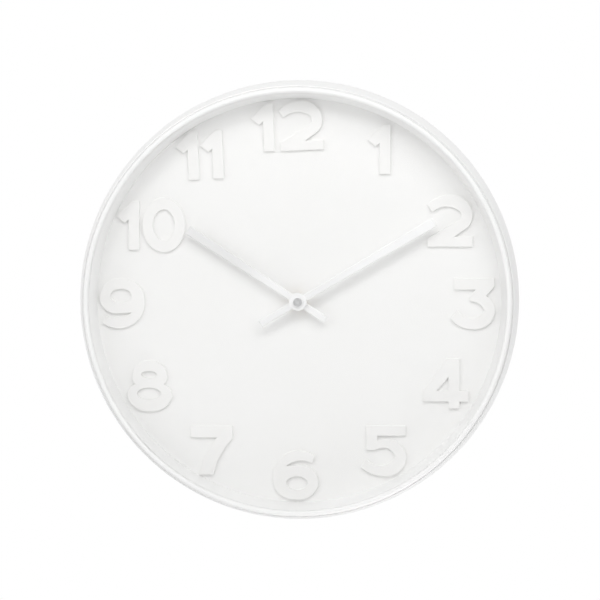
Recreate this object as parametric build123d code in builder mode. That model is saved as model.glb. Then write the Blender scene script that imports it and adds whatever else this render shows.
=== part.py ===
from build123d import *
import os
from math import asin, cos, degrees, radians, sin, sqrt

# A round wall clock with a battery movement, in millimetres.
# The origin is on the axis of the hands, in the plane of the wall. +Z is up, and the dial faces -Y.
# A height is measured from the wall towards the viewer, so a piece at height h lies at y = -h.

# Case, drum and bezel
case_radius = 187.5
case_depth = 48.0
drum_wall = 1.0
drum_taper = 4.5
drum_round = 7.0
drum_flange_width = 10.5
bezel_height = 8.0
bezel_wall = 1.8
bezel_skirt_length = 8.0
bezel_lip_depth = 3.0
bezel_rim_width = 1.0
bead_width = 4.4
groove_width = 0.8
groove_depth = 0.8
shoulder_thickness = 1.0

# Lens, spacer ring and dial
lens_thickness = 1.5
spacer_step = 0.15
spacer_draft = 4.6
dial_recess = 20.5
dial_thickness = 1.0

# Rear cover, its screws and the hanger
cover_thickness = 2.0
cover_edge_gap = 1.0
support_wall = 2.5
cover_screw_count = 6
cover_screw_radius = 1.5
cover_screw_head_radius = 2.8
access_margin = 3.0
access_corner = 6.0
hanger_inset = 10.2
hanger_width = 44.0
hanger_length = 34.0
hanger_thickness = 1.2
hanger_corner = 3.0
keyhole_radius = 5.0
keyhole_slot_radius = 2.5
keyhole_slot_length = 9.0
hanger_rivet_radius = 1.6
hanger_rivet_inset = 5.0

# Numerals
numeral_height = 42.5
numeral_gap = 2.7
numeral_thickness = 2.4

# Hands
minute_hand_angle = 59.5
minute_hand_length = 133.9
minute_hand_tail = 37.0
hour_hand_angle = 303.0
hour_hand_length = 111.6
hour_hand_tail = 28.3
hand_width_at_hub = 5.5
hand_widening = 0.022
hand_thickness = 1.0
hand_edge = 0.6
hand_boss_radius = 7.4
hand_boss_rise = 0.6
hand_boss_edge = 0.2
hand_gap = 2.4
hour_hand_lift = 6.2
hand_nut_radius = 3.6
hand_nut_height = 3.0
hand_nut_edge = 0.4

# Movement housing and its fixing through the dial
movement_above_axis = 21.0
movement_wall = 1.4
movement_face = 1.2
movement_corner = 3.0
rubber_washer_radius = 11.0
rubber_washer_thickness = 0.8
bush_radius = 3.95
bush_length = 5.5
bush_flange_radius = 6.0
fixing_washer_radius = 7.0
fixing_washer_thickness = 0.5
fixing_nut_flats = 11.0
fixing_nut_thickness = 2.0
post_radius = 2.2
post_pin_radius = 1.2
post_inset = 3.1
upper_post_x = 8.5
lower_post_x = 11.5
lower_post_rise = 2.4
lower_post_gap = 1.2

# Wheels and arbors
motion_distance = 9.6
motion_direction = 150.0
minute_pinion_teeth = 10
motion_wheel_teeth = 30
motion_pinion_teeth = 8
hour_wheel_teeth = 32
setting_pinion_teeth = 10
third_distance = 10.8
third_direction = 200.0
centre_wheel_teeth = 45
third_pinion_teeth = 6
third_wheel_teeth = 48
second_pinion_teeth = 6
intermediate_distance = 11.2
intermediate_direction = 0.0
second_wheel_teeth = 40
intermediate_pinion_teeth = 8
rotor_distance = 8.4
rotor_direction = 75.0
intermediate_wheel_teeth = 36
rotor_pinion_teeth = 6
tooth_share = 0.4
wheel_thickness = 0.8
layer_gap = 0.4
pinion_overhang = 0.2
arbor_radius = 0.6
minute_arbor_radius = 1.6
minute_thread_radius = 1.3
hour_pipe_radius = 2.5
setting_stem_radius = 1.5
setting_knob_radius = 5.0
setting_knob_thickness = 3.1
setting_knob_grooves = 12
setting_knob_groove_radius = 0.6
setting_knob_web = 1.0
plate_thickness = 0.8
plate_margin = 0.6

# Motor, circuit and battery
rotor_radius = 3.0
rotor_length = 3.0
rotor_air_gap = 0.4
stator_rim = 0.9
stator_thickness = 0.8
stator_width = 5.6
stator_arm_width = 3.0
stator_lift = 1.8
stator_offset = 1.9
stator_drop = 6.86
coil_gap = 1.65
coil_length = 20.5
coil_flange_radius = 3.4
coil_flange_thickness = 0.8
coil_tube_radius = 1.8
coil_winding_radius = 3.1
core_width = 2.0
board_length = 18.0
board_width = 8.5
board_thickness = 0.8
board_lift = 2.2
board_offset = 4.0
crystal_radius = 1.0
crystal_length = 6.0
chip_radius = 2.2
chip_height = 0.8
battery_radius = 7.25
battery_length = 50.5
battery_nub_radius = 2.7
battery_nub_length = 1.0
battery_rear_gap = 0.2
contact_thickness = 0.4
contact_width = 9.0
contact_bow = 2.3

# Clearances
fit_clearance = 0.05
press_clearance = 0.02
part_clearance = 0.3

# Section plane for turned pieces: across is the radius, up is the height above the wall.
section = Plane(origin=(0, 0, 0), x_dir=(1, 0, 0), z_dir=(0, 0, -1))


def face_plane(height, x=0.0, z=0.0, turn=0.0):
    """A plane parallel to the wall at a height, facing the viewer, turned anticlockwise."""
    side = (cos(radians(turn)), 0, sin(radians(turn)))
    return Plane(origin=(x, -height, z), x_dir=side, z_dir=(0, -1, 0))


def polar(distance, direction, start=(0.0, 0.0)):
    """A point seen from the front: distance and anticlockwise direction from a start."""
    return (
        start[0] + distance * cos(radians(direction)),
        start[1] + distance * sin(radians(direction)),
    )


def export(piece, name):
    """Label a finished piece and write its file."""
    piece.part.label = name
    export_step(piece.part, f"parts/{name}.step")


os.makedirs("parts", exist_ok=True)

# Heights and radii that follow from the sizes above
drum_mouth_radius = case_radius - drum_taper
drum_mouth_height = case_depth - bezel_height
drum_widest_height = cover_thickness + drum_round
shoulder_rise = drum_mouth_height - drum_widest_height
shoulder_radius = (shoulder_rise**2 + drum_taper**2) / (2 * drum_taper)
shoulder_centre = case_radius - shoulder_radius
drum_mouth_inner = shoulder_centre + sqrt((shoulder_radius - drum_wall) ** 2 - shoulder_rise**2)
flange_outer = case_radius - drum_round
flange_inner = flange_outer - drum_flange_width
rim_outer = drum_mouth_radius - fit_clearance
rim_inner = rim_outer - bezel_rim_width
bead_outer = rim_inner - groove_width
bezel_opening_radius = bead_outer - bead_width
skirt_outer = drum_mouth_inner - fit_clearance
skirt_inner = skirt_outer - bezel_wall
lens_front = case_depth - bezel_lip_depth
lens_back = lens_front - lens_thickness
lens_radius = skirt_inner - part_clearance
dial_front = lens_back - dial_recess
dial_back = dial_front - dial_thickness
cover_radius = flange_outer - cover_edge_gap
screw_circle = (flange_inner + cover_radius) / 2
support_outer = flange_inner - part_clearance
support_inner = support_outer - support_wall
hanger_height = support_inner - hanger_inset - hanger_length / 2
movement_depth = movement_face + part_clearance + 2 * battery_radius + battery_rear_gap
movement_front = dial_back - rubber_washer_thickness
movement_inner_front = movement_front - movement_face
movement_rear = movement_front - movement_depth
movement_inner_rear = movement_rear + movement_face
hour_hand_back = dial_front + hour_hand_lift
hour_hand_front = hour_hand_back + hand_boss_rise + hand_thickness
minute_hand_back = hour_hand_front + hand_gap
minute_hand_front = minute_hand_back + hand_thickness + hand_boss_rise

# Places of the arbors, seen from the front
motion_place = polar(motion_distance, motion_direction)
setting_place = polar(motion_distance, motion_direction, motion_place)
third_place = polar(third_distance, third_direction)
intermediate_place = polar(intermediate_distance, intermediate_direction)
rotor_place = polar(rotor_distance, rotor_direction, intermediate_place)

# The housing is as wide as its wider room: the battery between its contacts, or the train and coil.
# Its length adds up from the stator, which follows the rotor, and the battery's bay below it.
stator_middle_x = rotor_place[0] + stator_offset
stator_right = stator_middle_x + stator_width / 2
coil_x = stator_right + coil_gap + coil_flange_radius
coil_middle_z = rotor_place[1] - stator_drop
stator_half = coil_length / 2 + part_clearance + stator_arm_width
stator_ends = (coil_middle_z - stator_half, coil_middle_z + stator_half)
lower_post_z = stator_ends[0] - lower_post_gap - post_pin_radius
train_top = movement_above_axis - movement_wall
train_bottom = lower_post_z - lower_post_rise
bay_height = 2 * (battery_radius + part_clearance)
bay_top = train_bottom - movement_wall
bay_bottom = bay_top - bay_height
housing_bottom = bay_bottom - movement_wall
battery_room = battery_length + contact_thickness + contact_bow
coil_room = 2 * (coil_x + coil_flange_radius + fit_clearance)
cavity_width = max(battery_room, coil_room)
movement_width = cavity_width + 2 * movement_wall
movement_length = movement_above_axis - housing_bottom
movement_middle = (movement_above_axis + housing_bottom) / 2

# Case drum: spun steel, flared towards the wall, with its rear edge turned in as a flange
with BuildPart() as case_drum:
    with BuildSketch(section):
        with BuildLine():
            rear = Line((flange_inner, cover_thickness), (flange_outer, cover_thickness))
            CenterArc((flange_outer, drum_widest_height), drum_round, -90, 90)
            outside = CenterArc(
                (shoulder_centre, drum_widest_height),
                shoulder_radius,
                0,
                degrees(asin(shoulder_rise / shoulder_radius)),
            )
            inside = CenterArc(
                (shoulder_centre, drum_widest_height),
                shoulder_radius - drum_wall,
                0,
                degrees(asin(shoulder_rise / (shoulder_radius - drum_wall))),
            )
            Line(outside @ 1, inside @ 1)
            CenterArc((flange_outer, drum_widest_height), drum_round - drum_wall, -90, 90)
            front = Line(
                (flange_outer, cover_thickness + drum_wall),
                (flange_inner, cover_thickness + drum_wall),
            )
            Line(front @ 1, rear @ 0)
        make_face()
    revolve(axis=Axis.Y)
    with BuildSketch(face_plane(cover_thickness)):
        with PolarLocations(screw_circle, cover_screw_count, start_angle=90 / cover_screw_count):
            Circle(cover_screw_radius)
    extrude(amount=drum_wall, mode=Mode.SUBTRACT)
export(case_drum, "case_drum")

# Bezel: a rounded bead inside a narrow groove, a rim on the drum's edge and a skirt inside it
bead_middle = bezel_opening_radius + bead_width / 2
bead_side = case_depth - bead_width / 2
groove_floor = drum_mouth_height + shoulder_thickness
rim_top = groove_floor + groove_depth
skirt_back = drum_mouth_height - bezel_skirt_length
with BuildPart() as bezel:
    with BuildSketch(section):
        with BuildLine():
            ThreePointArc(
                (bezel_opening_radius, bead_side),
                (bead_middle, case_depth),
                (bead_outer, bead_side),
            )
            Polyline(
                (bead_outer, bead_side),
                (bead_outer, groove_floor),
                (rim_inner, groove_floor),
                (rim_inner, rim_top),
                (rim_outer, rim_top),
                (rim_outer, drum_mouth_height),
                (skirt_outer, drum_mouth_height),
                (skirt_outer, skirt_back),
                (skirt_inner, skirt_back),
                (skirt_inner, lens_front),
                (bezel_opening_radius, lens_front),
                (bezel_opening_radius, bead_side),
            )
        make_face()
    revolve(axis=Axis.Y)
export(bezel, "bezel")

# Lens: a flat disc of clear glass behind the bezel's lip
with BuildPart() as lens:
    with BuildSketch(face_plane(lens_back)):
        Circle(lens_radius)
    extrude(amount=lens_thickness)
export(lens, "lens")

# Spacer ring: the white sloping wall that holds the lens off the dial
spacer_inner = bezel_opening_radius - spacer_step
spacer_foot = spacer_inner - spacer_draft
with BuildPart() as spacer_ring:
    with BuildSketch(section):
        with BuildLine():
            Polyline(
                (lens_radius, dial_front),
                (lens_radius, lens_back),
                (spacer_inner, lens_back),
                (spacer_foot, dial_front),
                close=True,
            )
        make_face()
    revolve(axis=Axis.Y)
export(spacer_ring, "spacer_ring")

# Dial: a flat painted disc with one hole for the movement's bush
with BuildPart() as dial:
    with BuildSketch(face_plane(dial_back)):
        Circle(lens_radius)
        Circle(bush_radius + fit_clearance, mode=Mode.SUBTRACT)
    extrude(amount=dial_thickness)
export(dial, "dial")

# Rear cover: a moulded disc whose ring wall presses the dial forward, open behind the movement
access_width = movement_width + 2 * access_margin
access_length = movement_length + 2 * access_margin
with BuildPart() as rear_cover:
    with BuildSketch(face_plane(0)):
        Circle(cover_radius)
    extrude(amount=cover_thickness)
    with BuildSketch(face_plane(cover_thickness)):
        Circle(support_outer)
        Circle(support_inner, mode=Mode.SUBTRACT)
    extrude(amount=dial_back - cover_thickness)
    with BuildSketch(face_plane(0, z=movement_middle)):
        RectangleRounded(access_width, access_length, access_corner)
    extrude(amount=cover_thickness, mode=Mode.SUBTRACT)
    with BuildSketch(face_plane(0, z=hanger_height)):
        RectangleRounded(
            hanger_width + 2 * fit_clearance,
            hanger_length + 2 * fit_clearance,
            hanger_corner,
        )
    extrude(amount=hanger_thickness, mode=Mode.SUBTRACT)
    with BuildSketch(face_plane(0, z=hanger_height)):
        Rectangle(hanger_width - 4 * hanger_rivet_inset, hanger_length - 2 * hanger_corner)
        with GridLocations(hanger_width - 2 * hanger_rivet_inset, 1, 2, 1):
            Circle(hanger_rivet_radius)
    extrude(amount=cover_thickness, mode=Mode.SUBTRACT)
    with Locations(face_plane(0)):
        with PolarLocations(screw_circle, cover_screw_count, start_angle=90 / cover_screw_count):
            Cone(
                cover_screw_head_radius + fit_clearance,
                cover_screw_radius + fit_clearance,
                cover_thickness,
                align=(Align.CENTER, Align.CENTER, Align.MIN),
                mode=Mode.SUBTRACT,
            )
export(rear_cover, "rear_cover")

# Cover screws: countersunk heads flush with the cover, shanks through the drum's flange
with BuildPart() as cover_screws:
    with Locations(face_plane(0)):
        with PolarLocations(screw_circle, cover_screw_count, start_angle=90 / cover_screw_count):
            Cone(
                cover_screw_head_radius,
                cover_screw_radius - fit_clearance,
                cover_thickness,
                align=(Align.CENTER, Align.CENTER, Align.MIN),
            )
    with Locations(face_plane(cover_thickness)):
        with PolarLocations(screw_circle, cover_screw_count, start_angle=90 / cover_screw_count):
            Cylinder(
                cover_screw_radius - fit_clearance,
                4 * drum_wall,
                align=(Align.CENTER, Align.CENTER, Align.MIN),
            )
export(cover_screws, "cover_screws")

# Hanger: a pressed steel plate with a keyhole, let into the cover and held by two rivets
with BuildPart() as hanger_plate:
    with BuildSketch(face_plane(0, z=hanger_height)):
        RectangleRounded(hanger_width, hanger_length, hanger_corner)
        with Locations((0, -keyhole_slot_length / 2)):
            Circle(keyhole_radius, mode=Mode.SUBTRACT)
        with Locations((0, 0)):
            SlotCenterToCenter(
                keyhole_slot_length, 2 * keyhole_slot_radius, rotation=90, mode=Mode.SUBTRACT
            )
        with GridLocations(hanger_width - 2 * hanger_rivet_inset, 1, 2, 1):
            Circle(hanger_rivet_radius, mode=Mode.SUBTRACT)
    extrude(amount=hanger_thickness)
export(hanger_plate, "hanger_plate")

with BuildPart() as hanger_rivets:
    with BuildSketch(face_plane(0, z=hanger_height)):
        with GridLocations(hanger_width - 2 * hanger_rivet_inset, 1, 2, 1):
            Circle(hanger_rivet_radius - press_clearance)
    extrude(amount=cover_thickness)
    with BuildSketch(face_plane(cover_thickness, z=hanger_height)):
        with GridLocations(hanger_width - 2 * hanger_rivet_inset, 1, 2, 1):
            Circle(2 * hanger_rivet_radius)
    extrude(amount=hanger_rivet_radius / 2)
export(hanger_rivets, "hanger_rivets")

# Numerals: cut from white sheet and glued to the dial.
# Their outlines are drawn on a grid of 50 units to the cap height, about the middle of the digit.
unit = numeral_height / 50


def grid(*points):
    """Points of the type grid in millimetres."""
    return [(unit * x, unit * y) for x, y in points]


def digit_one():
    """A stem with a slanting flag."""
    with BuildSketch() as digit:
        with BuildLine():
            outline = grid(
                (11.7, 25), (4.1, 25), (-11.7, 9.8), (-3.3, 2.7), (0.6, 6), (0.6, -25), (11.7, -25)
            )
            Polyline(*outline, close=True)
        make_face()
    return digit.sketch


def digit_two():
    """A round bowl that runs down a diagonal into a base bar."""
    with BuildSketch() as digit:
        with BuildLine():
            ThreePointArc(*grid((-22.7, 16), (-13, 23), (-1, 25.8)))
            ThreePointArc(*grid((-1, 25.8), (17, 19.2), (22.5, 7)))
            ThreePointArc(*grid((22.5, 7), (21.2, -0.9), (17, -7)))
            Polyline(
                *grid(
                    (17, -7),
                    (4.5, -15.7),
                    (22.6, -15.7),
                    (22.6, -25.7),
                    (-22.2, -25.7),
                    (-22.2, -17.5),
                    (9, 0.8),
                )
            )
            ThreePointArc(*grid((9, 0.8), (11.2, 5), (9.6, 9.6)))
            ThreePointArc(*grid((9.6, 9.6), (-0.5, 14), (-17.5, 8.7)))
            Line(*grid((-17.5, 8.7), (-22.7, 16)))
        make_face()
    return digit.sketch


def digit_three():
    """A flat top bar that turns down a short diagonal into a round bowl."""
    with BuildSketch() as digit:
        with BuildLine():
            Polyline(*grid((-18.8, 25.3), (21.2, 25.3), (21.2, 17.3), (13.2, 7.8)))
            ThreePointArc(*grid((13.2, 7.8), (20, 1.2), (22.2, -7.2)))
            ThreePointArc(*grid((22.2, -7.2), (15.6, -20.4), (-0.3, -25.4)))
            ThreePointArc(*grid((-0.3, -25.4), (-12.4, -22.8), (-22.3, -14.5)))
            Line(*grid((-22.3, -14.5), (-15.3, -7)))
            ThreePointArc(*grid((-15.3, -7), (-1.3, -14.4), (11.2, -6.7)))
            ThreePointArc(*grid((11.2, -6.7), (6.8, -0.6), (-2.8, 2.1)))
            Polyline(*grid((-2.8, 2.1), (-3.3, 6.8), (2.5, 14), (-18.8, 14), (-18.8, 25.3)))
        make_face()
    return digit.sketch


def digit_four():
    """A stem crossed by a bar, closed by a diagonal round a three-cornered counter."""
    with BuildSketch() as digit:
        with BuildLine():
            outline = grid(
                (13.5, 25),
                (0.7, 25),
                (-22.5, -7.5),
                (-22.5, -18),
                (2.7, -18),
                (2.7, -25),
                (13.5, -25),
                (13.5, -18),
                (22.6, -18),
                (22.6, -7.3),
                (13.5, -7.3),
            )
            Polyline(*outline, close=True)
        make_face()
        with BuildLine():
            Polyline(*grid((2.5, 6.5), (2.5, -7.3), (-9.2, -7.3)), close=True)
        make_face(mode=Mode.SUBTRACT)
    return digit.sketch


def digit_five():
    """A top bar and a short stem over a round open bowl."""
    with BuildSketch() as digit:
        with BuildLine():
            Polyline(
                *grid((-17.3, 1.1), (-17.8, 25.5), (21.7, 25.5), (21.7, 15.4), (-6.3, 15.4), (-6.3, 10.8))
            )
            ThreePointArc(*grid((-6.3, 10.8), (14.2, 8.6), (22.9, -5)))
            ThreePointArc(*grid((22.9, -5), (16.4, -20), (0.2, -25.4)))
            ThreePointArc(*grid((0.2, -25.4), (-12, -23), (-22.8, -16.2)))
            Line(*grid((-22.8, -16.2), (-17.3, -8.2)))
            ThreePointArc(*grid((-17.3, -8.2), (-3, -14.7), (11.2, -6.2)))
            ThreePointArc(*grid((11.2, -6.2), (8, 0.4), (-0.2, 3.3)))
            ThreePointArc(*grid((-0.2, 3.3), (-4.5, 2.6), (-8.8, 0.8)))
            Line(*grid((-8.8, 0.8), (-17.3, 1.1)))
        make_face()
    return digit.sketch


def digit_six(turn=0.0):
    """A closed bowl under an open arm, which upside down is a nine."""
    with BuildSketch() as digit:
        with BuildLine():
            ThreePointArc(*grid((19.8, 19.6), (12.5, 23.2), (4.3, 24.8)))
            ThreePointArc(*grid((4.3, 24.8), (-14.7, 17.6), (-22.7, -3.4)))
            ThreePointArc(*grid((-22.7, -3.4), (-15.8, -19.5), (0.3, -24.9)))
            ThreePointArc(*grid((0.3, -24.9), (16.6, -19.8), (22.8, -8)))
            ThreePointArc(*grid((22.8, -8), (17.6, 5.2), (3.3, 9.8)))
            Line(*grid((3.3, 9.8), (-9.2, 9)))
            ThreePointArc(*grid((-9.2, 9), (2.5, 14.2), (16.3, 11.9)))
            Line(*grid((16.3, 11.9), (19.8, 19.6)))
        make_face()
        with Locations(*grid((1.2, -8.2))):
            Ellipse(10.6 * unit, 6.7 * unit, mode=Mode.SUBTRACT)
    return digit.sketch.rotate(Axis.Z, turn)


def digit_seven():
    """A top bar and a leg that curves as it comes down."""
    with BuildSketch() as digit:
        with BuildLine():
            Polyline(*grid((5.2, 12.9), (-21.3, 12.9), (-21.3, 24.7), (21.2, 24.7), (21.2, 12.2)))
            ThreePointArc(*grid((21.2, 12.2), (8.8, -4.8), (2.2, -24.7)))
            Line(*grid((2.2, -24.7), (-11.8, -24.7)))
            ThreePointArc(*grid((-11.8, -24.7), (-6.4, -4.6), (5.2, 12.9)))
        make_face()
    return digit.sketch


def digit_eight():
    """A small bowl over a larger one, each round its own counter."""
    with BuildSketch() as digit:
        with BuildLine():
            ThreePointArc(*grid((0, 25.5), (13.2, 20.6), (17.8, 10)))
            ThreePointArc(*grid((17.8, 10), (17, 5), (14.3, 1.6)))
            ThreePointArc(*grid((14.3, 1.6), (20.6, -3.2), (22.5, -10.5)))
            ThreePointArc(*grid((22.5, -10.5), (15.8, -21), (0, -25.5)))
            mirror(about=Plane.YZ)
        make_face()
        with Locations(*grid((-0.6, 11.5))):
            Ellipse(7.7 * unit, 3.6 * unit, mode=Mode.SUBTRACT)
        with Locations(*grid((-0.6, -7.7))):
            Ellipse(12 * unit, 5.9 * unit, mode=Mode.SUBTRACT)
    return digit.sketch


def digit_zero():
    """An upright oval ring, a little taller than the other digits."""
    with BuildSketch() as digit:
        Ellipse(21.5 * unit, 27.3 * unit)
        Ellipse(10.8 * unit, 15.5 * unit, mode=Mode.SUBTRACT)
    return digit.sketch


# Each digit: its name, outline, hour, place beside the hour mark in grid units, tilt and scale
hour_ring = spacer_foot - numeral_gap - numeral_height / 2
digits = [
    ("numeral_1", digit_one(), 1, (-6.8, 1.0), 0.0, 0.985),
    ("numeral_2", digit_two(), 2, (0.2, -6.3), 0.0, 1.0),
    ("numeral_3", digit_three(), 3, (0.1, -1.7), 0.0, 1.0),
    ("numeral_4", digit_four(), 4, (-3.2, 5.4), 0.0, 1.0),
    ("numeral_5", digit_five(), 5, (-1.5, 0.8), 0.0, 1.0),
    ("numeral_6", digit_six(), 6, (-2.7, -0.5), 0.0, 1.0),
    ("numeral_7", digit_seven(), 7, (0.0, 0.5), 0.0, 1.0),
    ("numeral_8", digit_eight(), 8, (1.4, 1.3), 0.0, 1.0),
    ("numeral_9", digit_six(180), 9, (-2.7, -3.1), 0.0, 1.0),
    ("numeral_10_one", digit_one(), 10, (-19.9, -11.7), 0.0, 0.975),
    ("numeral_10_zero", digit_zero(), 10, (16.1, -11.0), 0.0, 1.0),
    ("numeral_11_left", digit_one(), 11, (-24.0, -5.8), 2.5, 0.965),
    ("numeral_11_right", digit_one(), 11, (0.6, -4.5), 2.5, 0.965),
    ("numeral_12_one", digit_one(), 12, (-35.6, -0.8), 2.5, 0.96),
    ("numeral_12_two", digit_two(), 12, (2.6, 1.3), 2.5, 0.96),
]
for name, outline, hour, beside, tilt, enlarged in digits:
    hour_x, hour_z = polar(hour_ring, 90 - 30 * hour)
    with BuildPart() as numeral:
        with BuildSketch(
            face_plane(dial_front, hour_x + unit * beside[0], hour_z + unit * beside[1], tilt)
        ):
            add(outline.scale(enlarged))
        extrude(amount=numeral_thickness)
    export(numeral, name)


def hand_outline(length, tail):
    """A bar along X that widens evenly from the hub to both of its square ends."""
    half_hub = hand_width_at_hub / 2
    half_tip = half_hub + hand_widening * length / 2
    half_tail = half_hub + hand_widening * tail / 2
    with BuildSketch() as blade:
        with BuildLine():
            Polyline(
                (length, half_tip),
                (0, half_hub),
                (-tail, half_tail),
                (-tail, -half_tail),
                (0, -half_hub),
                (length, -half_tip),
                close=True,
            )
        make_face()
    return blade.sketch


# Hour hand: a painted aluminium bar pressed on the hour wheel's pipe
with BuildPart() as hour_hand:
    with BuildSketch(face_plane(hour_hand_back + hand_boss_rise, turn=90 - hour_hand_angle)):
        add(hand_outline(hour_hand_length, hour_hand_tail))
    extrude(amount=hand_thickness)
    chamfer(hour_hand.faces().sort_by(Axis.Y)[0].edges(), hand_edge)
    with BuildSketch(face_plane(hour_hand_back)):
        Circle(hand_boss_radius)
    extrude(amount=hand_boss_rise + hand_thickness)
    with BuildSketch(face_plane(hour_hand_back)):
        Circle(hour_pipe_radius + press_clearance)
    extrude(amount=hand_boss_rise + hand_thickness, mode=Mode.SUBTRACT)
export(hour_hand, "hour_hand")

# Minute hand: the same bar, longer, with its boss raised in front of the blade
with BuildPart() as minute_hand:
    with BuildSketch(face_plane(minute_hand_back, turn=90 - minute_hand_angle)):
        add(hand_outline(minute_hand_length, minute_hand_tail))
    extrude(amount=hand_thickness)
    chamfer(minute_hand.faces().sort_by(Axis.Y)[0].edges(), hand_edge)
    with BuildSketch(face_plane(minute_hand_back)):
        Circle(hand_boss_radius)
    extrude(amount=hand_thickness + hand_boss_rise)
    chamfer(minute_hand.faces().sort_by(Axis.Y)[0].edges(), hand_boss_edge)
    with BuildSketch(face_plane(minute_hand_back)):
        Circle(minute_thread_radius + press_clearance)
    extrude(amount=hand_thickness + hand_boss_rise, mode=Mode.SUBTRACT)
export(minute_hand, "minute_hand")

# Hand nut: a flat turned cap, screwed on the minute arbor to hold its hand
minute_thread_end = minute_hand_front + hand_nut_height / 2
nut_top = minute_hand_front + hand_nut_height
nut_bore = minute_thread_radius + press_clearance
with BuildPart() as hand_nut:
    with BuildSketch(section):
        with BuildLine():
            Polyline(
                (0, nut_top),
                (hand_nut_radius - hand_nut_edge, nut_top),
                (hand_nut_radius, nut_top - hand_nut_edge),
                (hand_nut_radius, minute_hand_front),
                (nut_bore, minute_hand_front),
                (nut_bore, minute_thread_end + part_clearance),
                (0, minute_thread_end + part_clearance),
                close=True,
            )
        make_face()
    revolve(axis=Axis.Y)
export(hand_nut, "hand_nut")

# Fixing of the movement: a threaded bush through the dial with a nut and washers
bush_bore = hour_pipe_radius + fit_clearance
bush_front = dial_front + bush_length
with BuildPart() as centre_bush:
    with BuildSketch(section):
        with BuildLine():
            Polyline(
                (bush_bore, movement_inner_front),
                (bush_radius, movement_inner_front),
                (bush_radius, movement_front),
                (bush_flange_radius, movement_front),
                (bush_flange_radius, dial_back),
                (bush_radius, dial_back),
                (bush_radius, bush_front),
                (bush_bore, bush_front),
                close=True,
            )
        make_face()
    revolve(axis=Axis.Y)
export(centre_bush, "centre_bush")

with BuildPart() as rubber_washer:
    with BuildSketch(face_plane(movement_front)):
        Circle(rubber_washer_radius)
        Circle(bush_flange_radius + fit_clearance, mode=Mode.SUBTRACT)
    extrude(amount=rubber_washer_thickness)
export(rubber_washer, "rubber_washer")

with BuildPart() as fixing_washer:
    with BuildSketch(face_plane(dial_front)):
        Circle(fixing_washer_radius)
        Circle(bush_radius + fit_clearance, mode=Mode.SUBTRACT)
    extrude(amount=fixing_washer_thickness)
export(fixing_washer, "fixing_washer")

with BuildPart() as fixing_nut:
    with BuildSketch(face_plane(dial_front + fixing_washer_thickness)):
        RegularPolygon(fixing_nut_flats / 2, 6, major_radius=False)
        Circle(bush_radius + press_clearance, mode=Mode.SUBTRACT)
    extrude(amount=fixing_nut_thickness)
export(fixing_nut, "fixing_nut")

# Layers of the movement, counted back from its front wall
hour_wheel_front = movement_inner_front - layer_gap
hour_wheel_back = hour_wheel_front - 2 * wheel_thickness
motion_wheel_front = hour_wheel_back - layer_gap
motion_wheel_back = motion_wheel_front - wheel_thickness
plate_front = motion_wheel_back - pinion_overhang - layer_gap
plate_back = plate_front - plate_thickness
centre_wheel_front = plate_back - layer_gap - pinion_overhang
centre_wheel_back = centre_wheel_front - wheel_thickness
third_wheel_front = centre_wheel_back - layer_gap - pinion_overhang
third_wheel_back = third_wheel_front - wheel_thickness
second_wheel_front = third_wheel_back - layer_gap - pinion_overhang
second_wheel_back = second_wheel_front - wheel_thickness
intermediate_wheel_front = second_wheel_back - layer_gap - pinion_overhang
intermediate_wheel_back = intermediate_wheel_front - wheel_thickness
pivot_depth = movement_face * 2 / 3
pivot_front = movement_inner_front + pivot_depth / 2
pivot_rear = movement_inner_rear - pivot_depth / 2
minute_arbor_back = third_wheel_front + pinion_overhang + part_clearance
pivot_hole = arbor_radius + fit_clearance

# Movement housing: a moulded box, open to the rear, with a bay for the battery below the train
post_left = post_inset - cavity_width / 2
post_places = [
    (post_left, train_top - post_inset),
    (upper_post_x, train_top - post_inset),
    (post_left, train_bottom + post_inset),
    (lower_post_x, lower_post_z),
]
with BuildPart() as movement_case:
    with BuildSketch(face_plane(movement_rear, z=movement_middle)):
        RectangleRounded(movement_width, movement_length, movement_corner)
    extrude(amount=movement_depth)
    with BuildSketch(face_plane(movement_rear)):
        with Locations((0, (bay_bottom + bay_top) / 2)):
            Rectangle(cavity_width, bay_height)
        with Locations((0, (train_bottom + train_top) / 2)):
            RectangleRounded(
                cavity_width, train_top - train_bottom, movement_corner - movement_wall
            )
    extrude(amount=movement_depth - movement_face, mode=Mode.SUBTRACT)
    with BuildSketch(face_plane(plate_front)):
        with Locations(*post_places):
            Circle(post_radius)
    extrude(amount=movement_inner_front - plate_front)
    with BuildSketch(face_plane(movement_inner_rear)):
        with Locations(*post_places):
            Circle(post_pin_radius)
    extrude(amount=plate_front - movement_inner_rear)
    with BuildSketch(face_plane(movement_inner_front)):
        Circle(bush_radius + press_clearance)
    extrude(amount=movement_face, mode=Mode.SUBTRACT)
    with BuildSketch(face_plane(movement_inner_front)):
        with Locations(motion_place, setting_place):
            Circle(pivot_hole)
    extrude(amount=pivot_depth, mode=Mode.SUBTRACT)
export(movement_case, "movement_case")

# Movement cover: the lid behind the train, with the rear bearings and posts for the board
board_middle = (-board_offset, train_top - board_width / 2 - part_clearance)
board_posts = [
    (board_middle[0] - board_length / 3, board_middle[1]),
    (board_middle[0] + board_length / 3, board_middle[1]),
]
with BuildPart() as movement_cover:
    with BuildSketch(face_plane(movement_rear)):
        with Locations((0, (train_bottom + train_top) / 2)):
            RectangleRounded(
                cavity_width - 2 * fit_clearance,
                train_top - train_bottom - 2 * fit_clearance,
                movement_corner - movement_wall,
            )
        with Locations(setting_place):
            Circle(setting_stem_radius + fit_clearance, mode=Mode.SUBTRACT)
    extrude(amount=movement_face)
    with BuildSketch(face_plane(movement_inner_rear)):
        with Locations(*board_posts):
            Circle(post_pin_radius)
    extrude(amount=board_lift)
    with BuildSketch(face_plane(movement_inner_rear - pivot_depth)):
        Circle(pivot_hole)
        with Locations(third_place, intermediate_place, rotor_place):
            Circle(pivot_hole)
    extrude(amount=pivot_depth, mode=Mode.SUBTRACT)
export(movement_cover, "movement_cover")

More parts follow.
